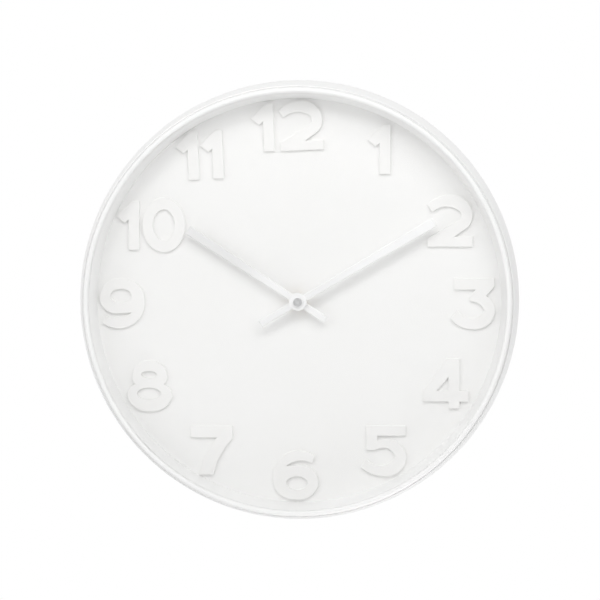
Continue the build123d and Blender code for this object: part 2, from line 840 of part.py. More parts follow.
# Train plate: carries the front pivots of the train and the stator
stator_front = second_wheel_front + stator_lift
stator_posts = [
    (stator_middle_x, stator_ends[0] + stator_arm_width / 2),
    (stator_middle_x, stator_ends[1] - stator_arm_width / 2),
]
plate_right = stator_right + plate_margin
with BuildPart() as train_plate:
    with BuildSketch(face_plane(plate_back)):
        plate_left = -cavity_width / 2 + part_clearance
        with Locations(((plate_left + plate_right) / 2, (train_bottom + train_top) / 2)):
            RectangleRounded(
                plate_right - plate_left,
                train_top - train_bottom - 2 * part_clearance,
                movement_corner - movement_wall,
            )
        with Locations(*post_places):
            Circle(post_pin_radius + fit_clearance, mode=Mode.SUBTRACT)
        with Locations(motion_place, third_place, intermediate_place, rotor_place):
            Circle(pivot_hole, mode=Mode.SUBTRACT)
        with Locations(setting_place):
            Circle(setting_stem_radius + fit_clearance, mode=Mode.SUBTRACT)
        Circle(minute_arbor_radius + fit_clearance, mode=Mode.SUBTRACT)
    extrude(amount=plate_thickness)
    with BuildSketch(face_plane(stator_front)):
        with Locations(*stator_posts):
            Circle(post_pin_radius)
    extrude(amount=plate_back - stator_front)
export(train_plate, "train_plate")


def meshed(teeth_driver, phase_driver, teeth, direction):
    """The phase at which a wheel's gap meets its driver's tooth on the line between them."""
    return direction + 180 + 180 / teeth - (phase_driver - direction) * teeth_driver / teeth


def gear(teeth, module, phase, bore=0.0):
    """A wheel outline: straight-flanked teeth with one of them at the phase angle."""
    pitch = 360 / teeth
    tip = module * (teeth / 2 + 0.85)
    root = module * (teeth / 2 - 1.2)
    half_tooth = tooth_share * pitch / 2
    half_tip = 0.45 * half_tooth
    half_root = 1.35 * half_tooth
    corners = []
    for tooth in range(teeth):
        middle = phase + tooth * pitch
        corners += [
            polar(root, middle - half_root),
            polar(tip, middle - half_tip),
            polar(tip, middle + half_tip),
            polar(root, middle + half_root),
        ]
    with BuildSketch() as wheel:
        with BuildLine():
            Polyline(*corners, close=True)
        make_face()
        if bore:
            Circle(bore, mode=Mode.SUBTRACT)
    return wheel.sketch


motion_module = 2 * motion_distance / (minute_pinion_teeth + motion_wheel_teeth)
hour_module = 2 * motion_distance / (motion_pinion_teeth + hour_wheel_teeth)
centre_module = 2 * third_distance / (third_pinion_teeth + centre_wheel_teeth)
third_module = 2 * third_distance / (second_pinion_teeth + third_wheel_teeth)
second_module = 2 * intermediate_distance / (intermediate_pinion_teeth + second_wheel_teeth)
rotor_module = 2 * rotor_distance / (rotor_pinion_teeth + intermediate_wheel_teeth)
motion_phase = meshed(minute_pinion_teeth, 0, motion_wheel_teeth, motion_direction)
hour_phase = meshed(motion_pinion_teeth, 0, hour_wheel_teeth, motion_direction + 180)
setting_phase = meshed(motion_wheel_teeth, motion_phase, setting_pinion_teeth, motion_direction)
third_phase = meshed(second_pinion_teeth, 0, third_wheel_teeth, third_direction)
centre_phase = meshed(third_pinion_teeth, 0, centre_wheel_teeth, third_direction + 180)
intermediate_phase = meshed(
    second_wheel_teeth, 0, intermediate_pinion_teeth, intermediate_direction
)
rotor_phase = meshed(intermediate_wheel_teeth, 0, rotor_pinion_teeth, rotor_direction)

# Minute arbor: a tube with the pinion of the motion work and a thread for the hand nut
with BuildPart() as minute_arbor:
    with BuildSketch(face_plane(minute_arbor_back)):
        Circle(minute_arbor_radius)
    extrude(amount=minute_hand_back - minute_arbor_back)
    with BuildSketch(face_plane(minute_hand_back)):
        Circle(minute_thread_radius)
    extrude(amount=minute_thread_end - minute_hand_back)
    with BuildSketch(face_plane(motion_wheel_back - pinion_overhang)):
        add(gear(minute_pinion_teeth, motion_module, 0))
    extrude(amount=wheel_thickness + 2 * pinion_overhang)
    with BuildSketch(face_plane(minute_arbor_back)):
        Circle(pivot_hole)
    extrude(amount=dial_back - minute_arbor_back, mode=Mode.SUBTRACT)
export(minute_arbor, "minute_arbor")

# Hour wheel: a moulded wheel on a pipe that runs in the bush and carries the hour hand
with BuildPart() as hour_wheel:
    with BuildSketch(face_plane(hour_wheel_back)):
        add(gear(hour_wheel_teeth, hour_module, hour_phase))
    extrude(amount=hour_wheel_front - hour_wheel_back)
    with BuildSketch(face_plane(hour_wheel_front)):
        Circle(hour_pipe_radius)
    extrude(amount=hour_hand_front - hour_wheel_front)
    with BuildSketch(face_plane(hour_wheel_back)):
        Circle(minute_arbor_radius + fit_clearance)
    extrude(amount=hour_hand_front - hour_wheel_back, mode=Mode.SUBTRACT)
export(hour_wheel, "hour_wheel")

# Motion wheel: takes the minute arbor's turn down to the hour wheel
with BuildPart() as motion_wheel:
    with BuildSketch(face_plane(motion_wheel_back, *motion_place)):
        add(gear(motion_wheel_teeth, motion_module, motion_phase))
    extrude(amount=wheel_thickness)
    with BuildSketch(face_plane(motion_wheel_front, *motion_place)):
        add(gear(motion_pinion_teeth, hour_module, 0))
    extrude(amount=hour_wheel_front - motion_wheel_front)
    with BuildSketch(face_plane(plate_back, *motion_place)):
        Circle(arbor_radius)
    extrude(amount=pivot_front - plate_back)
export(motion_wheel, "motion_wheel")

# Setting stem: its pinion turns the motion wheel, and so both hands, from the knob behind
knob_front = movement_rear - part_clearance
knob_back = knob_front - setting_knob_thickness
stem_back = knob_back + setting_knob_web
with BuildPart() as setting_stem:
    with BuildSketch(face_plane(stem_back, *setting_place)):
        Circle(setting_stem_radius)
    extrude(amount=motion_wheel_back - stem_back)
    with BuildSketch(face_plane(motion_wheel_back - pinion_overhang, *setting_place)):
        add(gear(setting_pinion_teeth, motion_module, setting_phase))
    extrude(amount=wheel_thickness + 2 * pinion_overhang)
    with BuildSketch(face_plane(motion_wheel_front, *setting_place)):
        Circle(arbor_radius)
    extrude(amount=pivot_front - motion_wheel_front)
export(setting_stem, "setting_stem")

with BuildPart() as setting_knob:
    with BuildSketch(face_plane(knob_back, *setting_place)):
        Circle(setting_knob_radius)
        with PolarLocations(setting_knob_radius, setting_knob_grooves):
            Circle(setting_knob_groove_radius, mode=Mode.SUBTRACT)
    extrude(amount=setting_knob_thickness)
    with BuildSketch(face_plane(stem_back, *setting_place)):
        Circle(setting_stem_radius + press_clearance)
    extrude(amount=setting_knob_thickness - setting_knob_web, mode=Mode.SUBTRACT)
export(setting_knob, "setting_knob")

# Centre wheel: grips the minute arbor through a light friction fit
with BuildPart() as centre_wheel:
    with BuildSketch(face_plane(centre_wheel_back)):
        add(
            gear(
                centre_wheel_teeth, centre_module, centre_phase, minute_arbor_radius + fit_clearance
            )
        )
    extrude(amount=wheel_thickness)
    with BuildSketch(face_plane(centre_wheel_front)):
        Circle(2 * minute_arbor_radius)
        Circle(minute_arbor_radius + fit_clearance, mode=Mode.SUBTRACT)
    extrude(amount=pinion_overhang)
export(centre_wheel, "centre_wheel")


def train_arbor(place, front):
    """An arbor from the rear bearing in the cover to a front end."""
    with BuildPart() as arbor:
        with BuildSketch(face_plane(pivot_rear, *place)):
            Circle(arbor_radius)
        extrude(amount=front - pivot_rear)
    return arbor.part


# Third wheel: between the second wheel and the centre wheel
with BuildPart() as third_wheel:
    add(train_arbor(third_place, plate_front))
    with BuildSketch(face_plane(third_wheel_back, *third_place)):
        add(gear(third_wheel_teeth, third_module, third_phase))
    extrude(amount=wheel_thickness)
    with BuildSketch(face_plane(centre_wheel_back - pinion_overhang, *third_place)):
        add(gear(third_pinion_teeth, centre_module, 0))
    extrude(amount=wheel_thickness + 2 * pinion_overhang)
export(third_wheel, "third_wheel")

# Second wheel: one turn a minute, on an arbor inside the minute arbor
with BuildPart() as second_wheel:
    add(train_arbor((0.0, 0.0), movement_front))
    with BuildSketch(face_plane(second_wheel_back)):
        add(gear(second_wheel_teeth, second_module, 0))
    extrude(amount=wheel_thickness)
    with BuildSketch(face_plane(third_wheel_back - pinion_overhang)):
        add(gear(second_pinion_teeth, third_module, 0))
    extrude(amount=wheel_thickness + 2 * pinion_overhang)
export(second_wheel, "second_wheel")

# Intermediate wheel: between the rotor and the second wheel
with BuildPart() as intermediate_wheel:
    add(train_arbor(intermediate_place, plate_front))
    with BuildSketch(face_plane(intermediate_wheel_back, *intermediate_place)):
        add(gear(intermediate_wheel_teeth, rotor_module, 0))
    extrude(amount=wheel_thickness)
    with BuildSketch(face_plane(second_wheel_back - pinion_overhang, *intermediate_place)):
        add(gear(intermediate_pinion_teeth, second_module, intermediate_phase))
    extrude(amount=wheel_thickness + 2 * pinion_overhang)
export(intermediate_wheel, "intermediate_wheel")

# Rotor: a round magnet on its arbor, with the pinion that drives the train
rotor_back = stator_front - stator_thickness / 2 - rotor_length / 2
with BuildPart() as rotor:
    add(train_arbor(rotor_place, plate_front))
    with BuildSketch(face_plane(rotor_back, *rotor_place)):
        Circle(rotor_radius)
    extrude(amount=rotor_length)
    with BuildSketch(face_plane(intermediate_wheel_back - pinion_overhang, *rotor_place)):
        add(gear(rotor_pinion_teeth, rotor_module, rotor_phase))
    extrude(amount=wheel_thickness + 2 * pinion_overhang)
export(rotor, "rotor")

# Stator: a soft iron plate round the rotor, whose two arms reach the ends of the coil's core
core_right = coil_x + core_width
stator_back = stator_front - stator_thickness
with BuildPart() as stator:
    with BuildSketch(face_plane(stator_back)):
        with Locations((stator_middle_x, coil_middle_z)):
            Rectangle(stator_width, 2 * stator_half)
        arm_left = stator_middle_x - stator_width / 2
        for post in stator_posts:
            with Locations(((arm_left + core_right) / 2, post[1])):
                Rectangle(core_right - arm_left, stator_arm_width)
        with Locations(rotor_place):
            Circle(rotor_radius + rotor_air_gap + stator_rim)
            Circle(rotor_radius + rotor_air_gap, mode=Mode.SUBTRACT)
    extrude(amount=stator_thickness)
export(stator, "stator")

# Coil: an iron core across the stator's arms, a bobbin on it and its winding
core_back = stator_back - stator_thickness
coil_axis_height = core_back + stator_thickness / 2
with BuildPart() as coil_core:
    with BuildSketch(face_plane(core_back)):
        with Locations((coil_x, coil_middle_z)):
            Rectangle(core_width, 2 * stator_half)
    extrude(amount=stator_thickness)
export(coil_core, "coil_core")

coil_bottom = Plane(
    origin=(coil_x, -coil_axis_height, coil_middle_z - coil_length / 2), z_dir=(0, 0, 1)
)
with BuildPart() as coil_bobbin:
    with BuildSketch(coil_bottom):
        Circle(coil_tube_radius)
    extrude(amount=coil_length)
    with BuildSketch(coil_bottom, coil_bottom.offset(coil_length - coil_flange_thickness)):
        Circle(coil_flange_radius)
    extrude(amount=coil_flange_thickness)
    with BuildSketch(coil_bottom):
        Rectangle(core_width + 2 * fit_clearance, stator_thickness + 2 * fit_clearance)
    extrude(amount=coil_length, mode=Mode.SUBTRACT)
export(coil_bobbin, "coil_bobbin")

with BuildPart() as coil_winding:
    with BuildSketch(coil_bottom.offset(coil_flange_thickness)):
        Circle(coil_winding_radius)
        Circle(coil_tube_radius + press_clearance, mode=Mode.SUBTRACT)
    extrude(amount=coil_length - 2 * coil_flange_thickness)
export(coil_winding, "coil_winding")

# Circuit board with its chip under a drop of resin, and the quartz crystal beside it
board_back = movement_inner_rear + board_lift
board_front = board_back + board_thickness
with BuildPart() as circuit_board:
    with BuildSketch(face_plane(board_back, *board_middle)):
        Rectangle(board_length, board_width)
    extrude(amount=board_thickness)
    with BuildSketch(face_plane(board_front, *board_middle)):
        with Locations((board_length / 4, 0)):
            Circle(chip_radius)
    extrude(amount=chip_height, taper=30)
export(circuit_board, "circuit_board")

crystal_start = Plane(
    origin=(
        board_middle[0] - board_length / 4 - crystal_length / 2,
        -board_front - crystal_radius,
        board_middle[1] + board_width / 4,
    ),
    z_dir=(1, 0, 0),
)
with BuildPart() as quartz_crystal:
    with BuildSketch(crystal_start):
        Circle(crystal_radius)
    extrude(amount=crystal_length)
export(quartz_crystal, "quartz_crystal")

# Battery: one plain cell lying in the bay, its nub to the right, between two sprung contacts
battery_z = (bay_bottom + bay_top) / 2
battery_height = movement_inner_front - part_clearance - battery_radius
battery_right = cavity_width / 2 - contact_thickness
battery_left = battery_right - battery_length
battery_end = Plane(origin=(battery_left, -battery_height, battery_z), z_dir=(1, 0, 0))
with BuildPart() as battery:
    with BuildSketch(battery_end):
        Circle(battery_radius)
    extrude(amount=battery_length - battery_nub_length)
    with BuildSketch(battery_end.offset(battery_length - battery_nub_length)):
        Circle(battery_nub_radius)
    extrude(amount=battery_nub_length)
export(battery, "battery")

with BuildPart() as contact_positive:
    with BuildSketch(Plane(origin=(battery_right, -battery_height, battery_z), z_dir=(1, 0, 0))):
        Rectangle(contact_width, contact_width)
    extrude(amount=contact_thickness)
export(contact_positive, "contact_positive")

contact_wall = -cavity_width / 2
with BuildPart() as contact_negative:
    with BuildSketch(Plane.XY.offset(battery_z - contact_width / 2)):
        with BuildLine():
            leaf_bottom = -battery_height - contact_width / 2
            leaf_top = -battery_height + contact_width / 2
            outer_leaf = ThreePointArc(
                (contact_wall + contact_thickness, leaf_bottom),
                (battery_left, -battery_height),
                (contact_wall + contact_thickness, leaf_top),
            )
            Polyline(
                outer_leaf @ 1,
                (contact_wall, leaf_top),
                (contact_wall, leaf_bottom),
                outer_leaf @ 0,
            )
        make_face()
    extrude(amount=contact_width)
    with BuildSketch(Plane.XY.offset(battery_z - contact_width / 2)):
        with BuildLine():
            inner_leaf = ThreePointArc(
                (contact_wall + contact_thickness, leaf_bottom + 2 * contact_thickness),
                (battery_left - contact_thickness, -battery_height),
                (contact_wall + contact_thickness, leaf_top - 2 * contact_thickness),
            )
            Line(inner_leaf @ 1, inner_leaf @ 0)
        make_face()
    extrude(amount=contact_width, mode=Mode.SUBTRACT)
export(contact_negative, "contact_negative")
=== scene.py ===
import math

import bmesh
import bpy
import numpy as np
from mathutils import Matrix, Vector


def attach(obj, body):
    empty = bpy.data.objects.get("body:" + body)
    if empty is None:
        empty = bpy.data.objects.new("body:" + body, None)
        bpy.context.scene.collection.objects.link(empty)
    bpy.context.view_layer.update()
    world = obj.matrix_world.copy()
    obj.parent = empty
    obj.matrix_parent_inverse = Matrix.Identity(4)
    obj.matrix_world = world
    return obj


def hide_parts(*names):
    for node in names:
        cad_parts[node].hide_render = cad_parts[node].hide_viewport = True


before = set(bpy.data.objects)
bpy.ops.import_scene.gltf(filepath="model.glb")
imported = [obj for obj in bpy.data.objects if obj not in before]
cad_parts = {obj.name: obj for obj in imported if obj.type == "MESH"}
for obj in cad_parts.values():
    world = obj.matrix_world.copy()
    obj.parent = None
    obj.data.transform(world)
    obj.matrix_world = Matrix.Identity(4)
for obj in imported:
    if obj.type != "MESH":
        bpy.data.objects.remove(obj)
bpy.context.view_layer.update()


# Case drum. It is spun from steel sheet, flared towards the wall, with its rear edge turned in as a
# flange. Powder coating leaves a satin white skin with a faint ripple.
def finish(piece_names, material):
    """Give the named pieces of the frame one material."""
    for piece_name in piece_names:
        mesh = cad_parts[piece_name].data
        mesh.materials.clear()
        mesh.materials.append(material)


def new_material(name):
    """A material with its node tree and its shader."""
    material = bpy.data.materials.new(name)
    material.use_nodes = True
    return material, material.node_tree, material.node_tree.nodes["Principled BSDF"]


def place_of(tree, stretch=(1.0, 1.0, 1.0)):
    """Object coordinates in metres, stretched along the row axes."""
    coordinates = tree.nodes.new("ShaderNodeTexCoord")
    mapping = tree.nodes.new("ShaderNodeMapping")
    mapping.inputs["Scale"].default_value = stretch
    tree.links.new(coordinates.outputs["Object"], mapping.inputs["Vector"])
    return mapping.outputs["Vector"]


def noise_at(tree, place, size, detail=2.0):
    """Noise whose blotches are about one size across, in metres."""
    noise = tree.nodes.new("ShaderNodeTexNoise")
    noise.inputs["Scale"].default_value = 1.0 / size
    noise.inputs["Detail"].default_value = detail
    tree.links.new(place, noise.inputs["Vector"])
    return noise.outputs["Fac"]


def between(tree, factor, low, high):
    """A number that runs from low to high as the noise runs over its usual span."""
    spread = tree.nodes.new("ShaderNodeMapRange")
    spread.inputs["From Min"].default_value = 0.3
    spread.inputs["From Max"].default_value = 0.7
    spread.inputs["To Min"].default_value = low
    spread.inputs["To Max"].default_value = high
    tree.links.new(factor, spread.inputs["Value"])
    return spread.outputs["Result"]


def tones(tree, factor, dark, light):
    """A colour that runs from a dark tone to a light one with the noise."""
    ramp = tree.nodes.new("ShaderNodeValToRGB")
    ramp.color_ramp.elements[0].position = 0.3
    ramp.color_ramp.elements[0].color = (*dark, 1.0)
    ramp.color_ramp.elements[1].position = 0.7
    ramp.color_ramp.elements[1].color = (*light, 1.0)
    tree.links.new(factor, ramp.inputs["Fac"])
    return ramp.outputs["Color"]


def ripple(tree, shader, height, depth):
    """A bump on the shader, with a depth in metres."""
    bump = tree.nodes.new("ShaderNodeBump")
    bump.inputs["Strength"].default_value = 1.0
    bump.inputs["Distance"].default_value = depth
    tree.links.new(height, bump.inputs["Height"])
    tree.links.new(bump.outputs["Normal"], shader.inputs["Normal"])


def grained_skin(name, dark, light, gloss, blotch, grain, grain_depth):
    """Paint or plastic: slow noise shifts its tone and gloss, and fine noise bumps its skin."""
    material, tree, shader = new_material(name)
    place = place_of(tree)
    slow = noise_at(tree, place, blotch, 3.0)
    tree.links.new(tones(tree, slow, dark, light), shader.inputs["Base Color"])
    tree.links.new(between(tree, slow, *gloss), shader.inputs["Roughness"])
    ripple(tree, shader, noise_at(tree, place, grain), grain_depth)
    return material


powder_coat = grained_skin(
    "powder_coat",
    dark=(0.895, 0.895, 0.89),
    light=(0.915, 0.915, 0.91),
    gloss=(0.3, 0.38),
    blotch=0.06,
    grain=0.0022,
    grain_depth=0.000012,
)
finish(["case_drum"], powder_coat)


# Bezel. A steel ring rolled to a rounded bead, with a narrow groove between the bead and the rim
# that sits on the drum's edge. Its skirt is pressed into the drum's mouth, and it is coated with
# the drum, so its corners are softened by the paint.
ring_columns = 320
bezel_front = 0.04799
bead_inner = 0.17675
bead_outer = 0.18115
bead_round = 0.00219
groove_floor = 0.041
groove_round = 0.00012
rim_inner = 0.18195
rim_outer = 0.18295
rim_front = 0.0418
rim_round = 0.0003
drum_edge = 0.04
skirt_outer = 0.1819
skirt_inner = 0.1801
skirt_end = 0.032
lens_front = 0.045
sheet_round = 0.0002
seat_round = 0.0001
bezel_corners = [
    (bead_inner, bezel_front, bead_round),
    (bead_outer, bezel_front, bead_round),
    (bead_outer, groove_floor, groove_round),
    (rim_inner, groove_floor, groove_round),
    (rim_inner, rim_front, sheet_round),
    (rim_outer, rim_front, rim_round),
    (rim_outer, drum_edge, seat_round),
    (skirt_outer, drum_edge, seat_round),
    (skirt_outer, skirt_end, sheet_round),
    (skirt_inner, skirt_end, sheet_round),
    (skirt_inner, lens_front, seat_round),
    (bead_inner, lens_front, sheet_round),
]


def rounded_section(corners, steps):
    """A closed section from rows of radius, height and rounding: each corner gives way to an arc
    that touches the two sides that meet there."""
    corner = np.array(corners)[:, :2]
    rounding = np.array(corners)[:, 2:]
    back = np.roll(corner, 1, axis=0) - corner
    ahead = np.roll(corner, -1, axis=0) - corner
    back /= np.linalg.norm(back, axis=1, keepdims=True)
    ahead /= np.linalg.norm(ahead, axis=1, keepdims=True)
    half = np.arccos((back * ahead).sum(axis=1, keepdims=True)) / 2
    inward = (back + ahead) / np.linalg.norm(back + ahead, axis=1, keepdims=True)
    middle = corner + inward * rounding / np.sin(half)
    first = corner + back * rounding / np.tan(half) - middle
    last = corner + ahead * rounding / np.tan(half) - middle
    sweep = np.pi - 2 * half
    share = np.linspace(0.0, 1.0, steps)
    from_first = np.sin((1 - share) * sweep) / np.sin(sweep)
    from_last = np.sin(share * sweep) / np.sin(sweep)
    arcs = from_first[..., None] * first[:, None] + from_last[..., None] * last[:, None]
    return (middle[:, None] + arcs).reshape(-1, 2)


def turned_ring(section, columns):
    """A section of radius and height carried once round the hands' axis."""
    turn = np.linspace(0.0, 2 * np.pi, columns, endpoint=False)
    x = section[:, :1] * np.cos(turn)
    z = section[:, :1] * np.sin(turn)
    y = np.broadcast_to(-section[:, 1:], x.shape)
    return np.stack([x, y, z], axis=-1)


def ring_faces(rows, columns, bands):
    """Quads in so many bands between neighbouring rows of a grid whose columns close on themselves.
    With as many bands as rows, the rows close too."""
    row, column = np.meshgrid(np.arange(bands), np.arange(columns), indexing="ij")
    below = (row + 1) % rows
    after = (column + 1) % columns
    corners = [row * columns + column, row * columns + after]
    corners += [below * columns + after, below * columns + column]
    return np.stack(corners, axis=-1).reshape(-1, 4)


def piece_from(name, points, faces, material, body, slot, *stands_for):
    """A smooth piece at the origin from whole arrays, which takes the place of the named nodes."""
    mesh = bpy.data.meshes.new(name)
    mesh.from_pydata(points.tolist(), [], faces.tolist())
    surface = bmesh.new()
    surface.from_mesh(mesh)
    bmesh.ops.remove_doubles(surface, verts=surface.verts, dist=1e-7)
    bmesh.ops.recalc_face_normals(surface, faces=surface.faces)
    surface.to_mesh(mesh)
    surface.free()
    mesh.shade_smooth()
    mesh.set_sharp_from_angle(angle=math.radians(35))
    mesh.materials.append(material)
    piece = bpy.data.objects.new(name, mesh)
    bpy.context.scene.collection.objects.link(piece)
    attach(piece, body)
    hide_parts(*stands_for)


bezel_section = rounded_section(bezel_corners, 9)
bezel_points = turned_ring(bezel_section, ring_columns)
bezel_faces = ring_faces(len(bezel_section), ring_columns, len(bezel_section))
piece_from(
    "coated_bezel",
    bezel_points.reshape(-1, 3),
    bezel_faces,
    powder_coat,
    "clock_case",
    "case_paint",
    "bezel",
)


# Lens. A flat disc of clear float glass, cut round and held between the bezel's lip and the
# spacer ring. Wiping leaves a very faint haze.
def clear_glass(name):
    """Glass so thin that it hardly bends light: mostly clear, with a polished face."""
    material, tree, shader = new_material(name)
    haze = noise_at(tree, place_of(tree), 0.09, 4.0)
    shader.inputs["Base Color"].default_value = (0.97, 0.985, 0.98, 1.0)
    shader.inputs["IOR"].default_value = 1.5
    tree.links.new(between(tree, haze, 0.02, 0.06), shader.inputs["Roughness"])
    tree.links.new(between(tree, haze, 0.02, 0.035), shader.inputs["Alpha"])
    material.surface_render_method = "BLENDED"
    return material


finish(["lens"], clear_glass("float_glass"))


# Spacer ring. The white moulded wall that holds the lens off the dial. It slopes inwards to the
# dial, which also lets it out of its mould.
spacer_plastic = grained_skin(
    "spacer_plastic",
    dark=(0.865, 0.865, 0.86),
    light=(0.885, 0.885, 0.88),
    gloss=(0.5, 0.6),
    blotch=0.05,
    grain=0.0012,
    grain_depth=0.00001,
)
spacer_outer = 0.1798
spacer_mouth = 0.1766
spacer_foot = 0.172
lens_back = 0.0435
dial_front = 0.023
hidden_round = 0.00002
mouth_round = 0.0002
spacer_corners = [
    (spacer_outer, dial_front, hidden_round),
    (spacer_outer, lens_back, hidden_round),
    (spacer_mouth, lens_back, mouth_round),
    (spacer_foot, dial_front, hidden_round),
]
spacer_section = rounded_section(spacer_corners, 5)
spacer_points = turned_ring(spacer_section, ring_columns)
spacer_faces = ring_faces(len(spacer_section), ring_columns, len(spacer_section))
piece_from(
    "moulded_spacer",
    spacer_points.reshape(-1, 3),
    spacer_faces,
    spacer_plastic,
    "clock_case",
    "spacer_plastic",
    "spacer_ring",
)


# Dial. A flat aluminium disc, sprayed with matt white paint that has a fine even grain.
dial_paint = grained_skin(
    "dial_paint",
    dark=(0.885, 0.882, 0.872),
    light=(0.9, 0.898, 0.89),
    gloss=(0.62, 0.72),
    blotch=0.11,
    grain=0.0009,
    grain_depth=0.000012,
)
finish(["dial"], dial_paint)


# Numerals. Fifteen digits cut from white plastic sheet, with smooth faces and finely sawn edges,
# each glued flat to the dial. The cutter leaves their edges slightly eased.
numeral_sheet = grained_skin(
    "numeral_sheet",
    dark=(0.875, 0.871, 0.86),
    light=(0.89, 0.886, 0.876),
    gloss=(0.4, 0.5),
    blotch=0.03,
    grain=0.0011,
    grain_depth=0.000008,
)


def eased_copy(piece_name, ease, material, body):
    """A merged copy of a piece of the frame, whose sharp edges are rounded off by a small bevel."""
    mesh = bpy.data.meshes.new("eased_" + piece_name)
    surface = bmesh.new()
    surface.from_mesh(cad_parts[piece_name].data)
    bmesh.ops.remove_doubles(surface, verts=surface.verts, dist=1e-6)
    bmesh.ops.dissolve_limit(
        surface, angle_limit=math.radians(0.5), verts=surface.verts, edges=surface.edges
    )
    bmesh.ops.recalc_face_normals(surface, faces=surface.faces)
    surface.to_mesh(mesh)
    surface.free()
    mesh.materials.append(material)
    mesh.shade_smooth()
    mesh.set_sharp_from_angle(angle=math.radians(35))
    piece = bpy.data.objects.new("eased_" + piece_name, mesh)
    bpy.context.scene.collection.objects.link(piece)
    bevel = piece.modifiers.new("ease", "BEVEL")
    bevel.width = ease
    bevel.segments = 2
    bevel.limit_method = "ANGLE"
    bevel.angle_limit = math.radians(35)
    bevel.harden_normals = True
    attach(piece, body)
    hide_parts(piece_name)


for numeral_name in [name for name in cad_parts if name.startswith("numeral_")]:
    eased_copy(numeral_name, 0.00025, numeral_sheet, "clock_case")


# Hands. Two bars stamped from aluminium sheet, each riveted to its round boss and sprayed white.
# Their paint also carries painted light: each boss is painted lighter as a painted highlight, the hour
# hand is painted greyer towards its tip as painted shade, and the minute hand is painted greyer near its
# hub.
boss_radius = 0.0074
boss_edge = 0.0003
tone_drift = 0.008


def spray_tone(tree, factor, tone):
    """A grey that drifts a little to both sides of its tone."""
    return tones(tree, factor, (tone - tone_drift,) * 3, (tone + tone_drift,) * 3)


def hand_paint_with_painted_light(name, boss_highlight_tone, at_hub, at_tip, hub_reach, tip_reach):
    """Paint with a fine grain, and painted light set by the distance from the hands' axis: a painted
    highlight that sets in at once at the boss's edge, and painted shade that changes slowly along the
    bar."""
    material, tree, shader = new_material(name)
    place = place_of(tree, (1.0, 0.0, 1.0))
    distance = tree.nodes.new("ShaderNodeVectorMath")
    distance.operation = "LENGTH"
    tree.links.new(place, distance.inputs[0])
    slow = noise_at(tree, place_of(tree), 0.02, 3.0)
    colour = spray_tone(tree, slow, boss_highlight_tone)
    # The boss's lighter tone is a painted highlight, and the change along the bar is painted shade.
    steps = [(at_hub, boss_radius, boss_radius + boss_edge), (at_tip, hub_reach, tip_reach)]
    for tone, start, end in steps:
        outward = tree.nodes.new("ShaderNodeMapRange")
        outward.inputs["From Min"].default_value = start
        outward.inputs["From Max"].default_value = end
        tree.links.new(distance.outputs["Value"], outward.inputs["Value"])
        painted_light_step = tree.nodes.new("ShaderNodeMix")
        painted_light_step.data_type = "RGBA"
        tree.links.new(outward.outputs["Result"], painted_light_step.inputs["Factor"])
        tree.links.new(colour, painted_light_step.inputs["A"])
        tree.links.new(spray_tone(tree, slow, tone), painted_light_step.inputs["B"])
        colour = painted_light_step.outputs["Result"]
    tree.links.new(colour, shader.inputs["Base Color"])
    tree.links.new(between(tree, slow, 0.4, 0.5), shader.inputs["Roughness"])
    ripple(tree, shader, noise_at(tree, place_of(tree), 0.0008), 0.000008)
    return material


# Both bosses are painted lighter as a painted highlight. The hour hand's bar is painted greyer towards
# its tip as painted shade, and the minute hand's bar is painted greyer near its hub as painted shade.
finish(["hour_hand"], hand_paint_with_painted_light("hour_hand_paint_and_shade", 0.93, 0.91, 0.78, 0.02, 0.06))
finish(["minute_hand"], hand_paint_with_painted_light("minute_hand_paint_and_shade", 0.94, 0.86, 0.915, 0.02, 0.08))


# Hand nut. A small cap turned from metal, with fine lathe rings, screwed on the minute arbor.
def turned_metal(name, dark, light, gloss, ring, ring_depth):
    """Lathe work: noise that changes only with the distance from the hands' axis and along it."""
    material, tree, shader = new_material(name)
    coordinates = tree.nodes.new("ShaderNodeTexCoord")
    axes = tree.nodes.new("ShaderNodeSeparateXYZ")
    tree.links.new(coordinates.outputs["Object"], axes.inputs["Vector"])
    across = tree.nodes.new("ShaderNodeCombineXYZ")
    tree.links.new(axes.outputs["X"], across.inputs["X"])
    tree.links.new(axes.outputs["Z"], across.inputs["Z"])
    radius = tree.nodes.new("ShaderNodeVectorMath")
    radius.operation = "LENGTH"
    tree.links.new(across.outputs["Vector"], radius.inputs[0])
    lathe = tree.nodes.new("ShaderNodeCombineXYZ")
    tree.links.new(radius.outputs["Value"], lathe.inputs["X"])
    tree.links.new(axes.outputs["Y"], lathe.inputs["Y"])
    rings = noise_at(tree, lathe.outputs["Vector"], ring, 3.0)
    shader.inputs["Metallic"].default_value = 1.0
    tree.links.new(tones(tree, rings, dark, light), shader.inputs["Base Color"])
    tree.links.new(between(tree, rings, *gloss), shader.inputs["Roughness"])
    ripple(tree, shader, rings, ring_depth)
    return material


turned_aluminium = turned_metal(
    "turned_aluminium",
    dark=(0.46, 0.46, 0.465),
    light=(0.57, 0.57, 0.575),
    gloss=(0.26, 0.36),
    ring=0.0004,
    ring_depth=0.000006,
)
finish(["hand_nut"], turned_aluminium)


# Bush, washers and nut that hold the movement to the dial. The bush, nut and minute arbor are
# turned from brass, the front washer is plated steel and the rear washer is soft rubber.
turned_brass = turned_metal(
    "turned_brass",
    dark=(0.6, 0.43, 0.17),
    light=(0.7, 0.52, 0.24),
    gloss=(0.24, 0.36),
    ring=0.0004,
    ring_depth=0.000006,
)
finish(["centre_bush", "fixing_nut", "minute_arbor"], turned_brass)


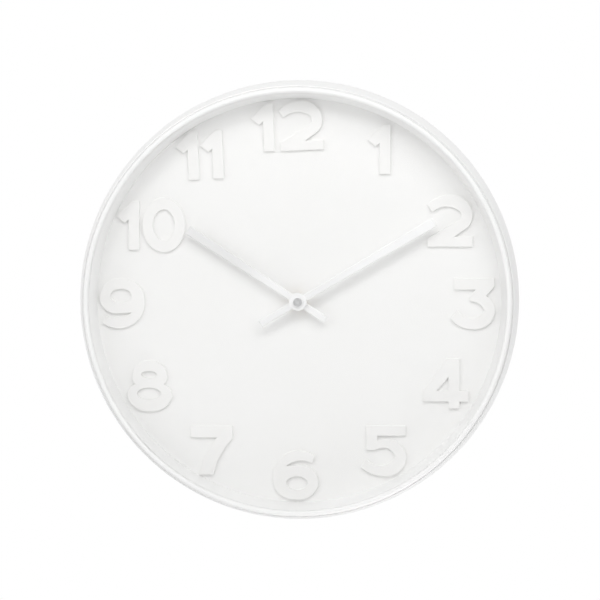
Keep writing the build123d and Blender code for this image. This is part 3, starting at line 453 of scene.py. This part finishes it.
def stamped_metal(name, dark, light, gloss, stretch, streak):
    """Rolled sheet: noise drawn out along the rolling direction."""
    material, tree, shader = new_material(name)
    streaks = noise_at(tree, place_of(tree, stretch), streak, 3.0)
    shader.inputs["Metallic"].default_value = 1.0
    tree.links.new(tones(tree, streaks, dark, light), shader.inputs["Base Color"])
    tree.links.new(between(tree, streaks, *gloss), shader.inputs["Roughness"])
    ripple(tree, shader, streaks, 0.000004)
    return material


zinc_plate = stamped_metal(
    "zinc_plate",
    dark=(0.52, 0.53, 0.54),
    light=(0.64, 0.65, 0.66),
    gloss=(0.3, 0.42),
    stretch=(1.0, 1.0, 0.12),
    streak=0.0012,
)
finish(["fixing_washer"], zinc_plate)

soft_rubber = grained_skin(
    "soft_rubber",
    dark=(0.03, 0.03, 0.03),
    light=(0.045, 0.045, 0.045),
    gloss=(0.75, 0.85),
    blotch=0.006,
    grain=0.0005,
    grain_depth=0.00002,
)
finish(["rubber_washer"], soft_rubber)


# Movement housing, its cover and the setting knob. All three are moulded in black plastic with a
# fine spark-eroded grain, and the cover snaps in over the train.
movement_plastic = grained_skin(
    "movement_plastic",
    dark=(0.028, 0.028, 0.03),
    light=(0.042, 0.042, 0.045),
    gloss=(0.46, 0.58),
    blotch=0.012,
    grain=0.0006,
    grain_depth=0.00003,
)
eased_copy("movement_case", 0.0004, movement_plastic, "clock_case")
eased_copy("movement_cover", 0.00025, movement_plastic, "clock_case")
eased_copy("setting_knob", 0.0002, movement_plastic, "setting_knob")


# Train plate and bobbin. Small mouldings in grey plastic that carry the arbors and the winding.
plate_plastic = grained_skin(
    "plate_plastic",
    dark=(0.14, 0.14, 0.15),
    light=(0.19, 0.19, 0.2),
    gloss=(0.45, 0.55),
    blotch=0.01,
    grain=0.0006,
    grain_depth=0.00002,
)
finish(["train_plate", "coil_bobbin"], plate_plastic)


# Wheels. Each is moulded in one with its pinion and arbor in natural acetal, which is milky.
wheel_plastic = grained_skin(
    "wheel_plastic",
    dark=(0.78, 0.77, 0.71),
    light=(0.84, 0.83, 0.77),
    gloss=(0.32, 0.42),
    blotch=0.004,
    grain=0.0007,
    grain_depth=0.00001,
)
wheel_names = [
    "hour_wheel",
    "motion_wheel",
    "setting_stem",
    "centre_wheel",
    "third_wheel",
    "second_wheel",
    "intermediate_wheel",
]
finish(wheel_names, wheel_plastic)


# Rotor. A ring magnet of pressed ferrite, moulded on its pinion.
rotor_ferrite = grained_skin(
    "rotor_ferrite",
    dark=(0.06, 0.06, 0.065),
    light=(0.12, 0.12, 0.125),
    gloss=(0.4, 0.55),
    blotch=0.0015,
    grain=0.0003,
    grain_depth=0.00001,
)
finish(["rotor"], rotor_ferrite)


# Stator and coil core. Stamped from soft iron sheet.
soft_iron = stamped_metal(
    "soft_iron",
    dark=(0.38, 0.37, 0.36),
    light=(0.48, 0.47, 0.46),
    gloss=(0.35, 0.5),
    stretch=(1.0, 1.0, 0.15),
    streak=0.001,
)
finish(["stator", "coil_core"], soft_iron)


# Coil winding. Many turns of enamelled copper wire, laid side by side along the bobbin.
def wound_wire(name, pitch):
    """Turns of wire: a wave along the bobbin's axis, with slow noise in its colour."""
    material, tree, shader = new_material(name)
    place = place_of(tree)
    shader.inputs["Metallic"].default_value = 1.0
    slow = noise_at(tree, place, 0.002, 2.0)
    tree.links.new(
        tones(tree, slow, (0.42, 0.17, 0.07), (0.58, 0.26, 0.12)), shader.inputs["Base Color"]
    )
    tree.links.new(between(tree, slow, 0.25, 0.4), shader.inputs["Roughness"])
    turns = tree.nodes.new("ShaderNodeTexWave")
    turns.bands_direction = "Z"
    turns.inputs["Scale"].default_value = 0.31 / pitch
    tree.links.new(place, turns.inputs["Vector"])
    ripple(tree, shader, turns.outputs["Fac"], 0.00004)
    return material


finish(["coil_winding"], wound_wire("copper_winding", 0.00012))


# Circuit board and crystal. The board is green laminate with its chip under a drop of resin, and the
# crystal sits in a drawn metal can.
board_laminate = grained_skin(
    "board_laminate",
    dark=(0.02, 0.12, 0.05),
    light=(0.035, 0.17, 0.075),
    gloss=(0.3, 0.45),
    blotch=0.003,
    grain=0.0004,
    grain_depth=0.00001,
)
finish(["circuit_board"], board_laminate)
crystal_can = stamped_metal(
    "crystal_can",
    dark=(0.6, 0.6, 0.61),
    light=(0.7, 0.7, 0.71),
    gloss=(0.2, 0.3),
    stretch=(0.15, 1.0, 1.0),
    streak=0.0006,
)
finish(["quartz_crystal"], crystal_can)


# Battery and contacts. One plain cell in a printed wrap without words, with a band of another tone
# at its positive end, held between two springs of plated strip.
def cell_wrap(name, band_start, band_edge):
    """The wrap's tone changes along the cell's own axis, which lies along X."""
    material, tree, shader = new_material(name)
    coordinates = tree.nodes.new("ShaderNodeTexCoord")
    axes = tree.nodes.new("ShaderNodeSeparateXYZ")
    tree.links.new(coordinates.outputs["Object"], axes.inputs["Vector"])
    along = tree.nodes.new("ShaderNodeMapRange")
    along.inputs["From Min"].default_value = band_start
    along.inputs["From Max"].default_value = band_start + band_edge
    tree.links.new(axes.outputs["X"], along.inputs["Value"])
    wear = noise_at(tree, place_of(tree), 0.004, 3.0)
    band = tree.nodes.new("ShaderNodeMix")
    band.data_type = "RGBA"
    tree.links.new(along.outputs["Result"], band.inputs["Factor"])
    tree.links.new(tones(tree, wear, (0.045, 0.046, 0.05), (0.06, 0.061, 0.066)), band.inputs["A"])
    tree.links.new(tones(tree, wear, (0.5, 0.3, 0.14), (0.56, 0.34, 0.17)), band.inputs["B"])
    tree.links.new(band.outputs["Result"], shader.inputs["Base Color"])
    tree.links.new(between(tree, wear, 0.22, 0.34), shader.inputs["Roughness"])
    shader.inputs["Metallic"].default_value = 0.4
    return material


finish(["battery"], cell_wrap("cell_wrap", 0.0125, 0.0003))

contact_spring = stamped_metal(
    "contact_spring",
    dark=(0.6, 0.59, 0.56),
    light=(0.7, 0.69, 0.66),
    gloss=(0.2, 0.32),
    stretch=(1.0, 0.15, 1.0),
    streak=0.0008,
)
finish(["contact_positive", "contact_negative"], contact_spring)


# Rear cover. A large disc moulded in pale plastic with a leathery grain, which closes the drum and
# presses the dial forward.
cover_plastic = grained_skin(
    "cover_plastic",
    dark=(0.6, 0.6, 0.59),
    light=(0.64, 0.64, 0.63),
    gloss=(0.55, 0.68),
    blotch=0.04,
    grain=0.0011,
    grain_depth=0.00006,
)
eased_copy("rear_cover", 0.0004, cover_plastic, "clock_case")


# Hanger. A keyhole plate stamped from zinc plated steel, let into the cover and riveted to it.
eased_copy("hanger_plate", 0.00018, zinc_plate, "clock_case")
finish(["hanger_rivets"], zinc_plate)


# Cover screws. Six small countersunk screws with a cross recess, driven through the cover into the
# drum's flange.
screw_circle = 0.17475
screw_start = math.radians(15)
screw_count = 6
head_radius = 0.0028
shank_radius = 0.00145
head_depth = 0.002
screw_length = 0.006
recess_depth = 0.0011
recess_reach = 0.0017
recess_half_width = 0.00034
recess_slope = 0.00012


def within(distance, limit):
    """1 well inside a limit and 0 outside it, with a straight slope between."""
    return np.clip((limit - abs(distance)) / recess_slope, 0, 1)


def cross_screw(x, z):
    """A screw along -Y: a profile (radius, depth) carried round its axis, whose top rows sink by a
    smooth mask that is 1 inside either bar of a cross and 0 outside."""
    across = np.linspace(0.0, head_radius, 22)
    radius = np.concatenate([across, [shank_radius, shank_radius, 0.0]])
    depth = np.concatenate([np.zeros(across.size), [head_depth, screw_length, screw_length]])
    turn = np.linspace(0.0, 2 * np.pi, 96, endpoint=False)
    u = radius[:, None] * np.cos(turn)
    v = radius[:, None] * np.sin(turn)
    bar_u = within(u, recess_half_width) * within(v, recess_reach)
    bar_v = within(v, recess_half_width) * within(u, recess_reach)
    top = (depth == 0)[:, None]
    sunk = depth[:, None] + recess_depth * np.maximum(bar_u, bar_v) * top
    return np.stack([x + u, -sunk, z + v], axis=-1)


screw_turns = screw_start + np.arange(screw_count) * 2 * np.pi / screw_count
screws = [cross_screw(screw_circle * np.cos(t), screw_circle * np.sin(t)) for t in screw_turns]
grid_rows, grid_columns = screws[0].shape[:2]
one_screw = ring_faces(grid_rows, grid_columns, grid_rows - 1)
screw_points = np.concatenate([screw.reshape(-1, 3) for screw in screws])
screw_size = grid_rows * grid_columns
screw_faces = np.concatenate([one_screw + i * screw_size for i in range(screw_count)])
piece_from(
    "recessed_screws", screw_points, screw_faces, zinc_plate, "clock_case", "zinc_steel", "cover_screws"
)


# Floor. A plain pale floor well below the clock, which hangs on a wall that is left out.
floor_drop = 0.62
floor_reach = 1.5
floor_mesh = bpy.data.meshes.new("floor")
floor_corners = floor_reach * np.array([[-1, -1], [1, -1], [1, 1], [-1, 1]])
floor_points = np.column_stack([floor_corners, np.full(4, -floor_drop)])
floor_mesh.from_pydata(floor_points.tolist(), [], [(0, 1, 2, 3)])
floor = bpy.data.objects.new("floor", floor_mesh)
bpy.context.scene.collection.objects.link(floor)
floor_material, _, floor_shader = new_material("pale_floor")
floor_shader.inputs["Base Color"].default_value = (0.85, 0.85, 0.85, 1.0)
floor_shader.inputs["Roughness"].default_value = 0.8
floor_mesh.materials.append(floor_material)


# Light. A white surround that shows as white to the camera, in polished metal and through glass.
# Its backdrop, behind the clock, is brighter than the room in front, and brightest low down. Large soft
# lamps stand to the left and right and one hangs close above. A smaller one, high on the left, draws the
# numerals' edges, and a weak one below fills in the lower side of the case.
room_level = 0.385
backdrop_low = 0.95
backdrop_high = 0.68
world = bpy.data.worlds.new("white_surround")
world.use_nodes = True
bpy.context.scene.world = world
sky = world.node_tree
seen = sky.nodes.new("ShaderNodeLightPath")
seen_or_mirrored = sky.nodes.new("ShaderNodeMath")
seen_or_mirrored.operation = "MAXIMUM"
sky.links.new(seen.outputs["Is Camera Ray"], seen_or_mirrored.inputs[0])
sky.links.new(seen.outputs["Is Glossy Ray"], seen_or_mirrored.inputs[1])
seen_at_all = sky.nodes.new("ShaderNodeMath")
seen_at_all.operation = "MAXIMUM"
sky.links.new(seen_or_mirrored.outputs["Value"], seen_at_all.inputs[0])
sky.links.new(seen.outputs["Is Transmission Ray"], seen_at_all.inputs[1])
direction = sky.nodes.new("ShaderNodeTexCoord")
axes = sky.nodes.new("ShaderNodeSeparateXYZ")
sky.links.new(direction.outputs["Generated"], axes.inputs["Vector"])
backdrop = sky.nodes.new("ShaderNodeMapRange")
backdrop.inputs["From Min"].default_value = -0.2
backdrop.inputs["From Max"].default_value = 0.5
backdrop.inputs["To Min"].default_value = backdrop_low
backdrop.inputs["To Max"].default_value = backdrop_high
sky.links.new(axes.outputs["Z"], backdrop.inputs["Value"])
lit = sky.nodes.new("ShaderNodeMapRange")
lit.inputs["From Min"].default_value = -0.1
lit.inputs["From Max"].default_value = 0.1
lit.inputs["To Min"].default_value = room_level
sky.links.new(axes.outputs["Y"], lit.inputs["Value"])
sky.links.new(backdrop.outputs["Result"], lit.inputs["To Max"])
surround = sky.nodes.new("ShaderNodeMapRange")
surround.inputs["To Max"].default_value = 1.0
sky.links.new(seen_at_all.outputs["Value"], surround.inputs["Value"])
sky.links.new(lit.outputs["Result"], surround.inputs["To Min"])
background = sky.nodes["Background"]
background.inputs["Color"].default_value = (1.0, 1.0, 1.0, 1.0)
sky.links.new(surround.outputs["Result"], background.inputs["Strength"])

lamps = [
    ("left_lamp", Vector((-1.25, -1.05, 0.3)), 1.4, 6.5),
    ("right_lamp", Vector((1.0, -1.2, 0.6)), 1.4, 4.9),
    ("top_lamp", Vector((0.2, -0.7, 0.72)), 0.6, 2.6),
    ("edge_lamp", Vector((-0.45, -1.3, 1.1)), 0.45, 3.9),
    ("low_lamp", Vector((0.2, -0.12, -0.5)), 0.3, 0.65),
]
for lamp_name, lamp_place, lamp_width, lamp_power in lamps:
    lamp_data = bpy.data.lights.new(lamp_name, "AREA")
    lamp_data.shape = "DISK"
    lamp_data.size = lamp_width
    lamp_data.energy = lamp_power
    lamp = bpy.data.objects.new(lamp_name, lamp_data)
    lamp.location = lamp_place
    lamp.rotation_euler = (-lamp_place).to_track_quat("-Z", "Y").to_euler()
    bpy.context.scene.collection.objects.link(lamp)


# Camera. A few degrees to the right of the clock's axis and a little above it, from far enough
# away to stand square to it.
camera_turn = math.radians(3.2)
camera_rise = math.radians(4.0)
camera_distance = 2.5
view_width = 0.513
aim = Vector((0.0006, -0.009, 0.0))
camera_data = bpy.data.cameras.new("camera")
camera_data.sensor_fit = "HORIZONTAL"
camera_data.angle = 2 * math.atan(view_width / 2 / camera_distance)
camera = bpy.data.objects.new("camera", camera_data)
towards_camera = Vector(
    (
        math.sin(camera_turn) * math.cos(camera_rise),
        -math.cos(camera_turn) * math.cos(camera_rise),
        math.sin(camera_rise),
    )
)
camera.location = aim + camera_distance * towards_camera
camera.rotation_euler = (-towards_camera).to_track_quat("-Z", "Y").to_euler()
bpy.context.scene.collection.objects.link(camera)
bpy.context.scene.camera = camera
bpy.context.scene.view_settings.view_transform = "Standard"
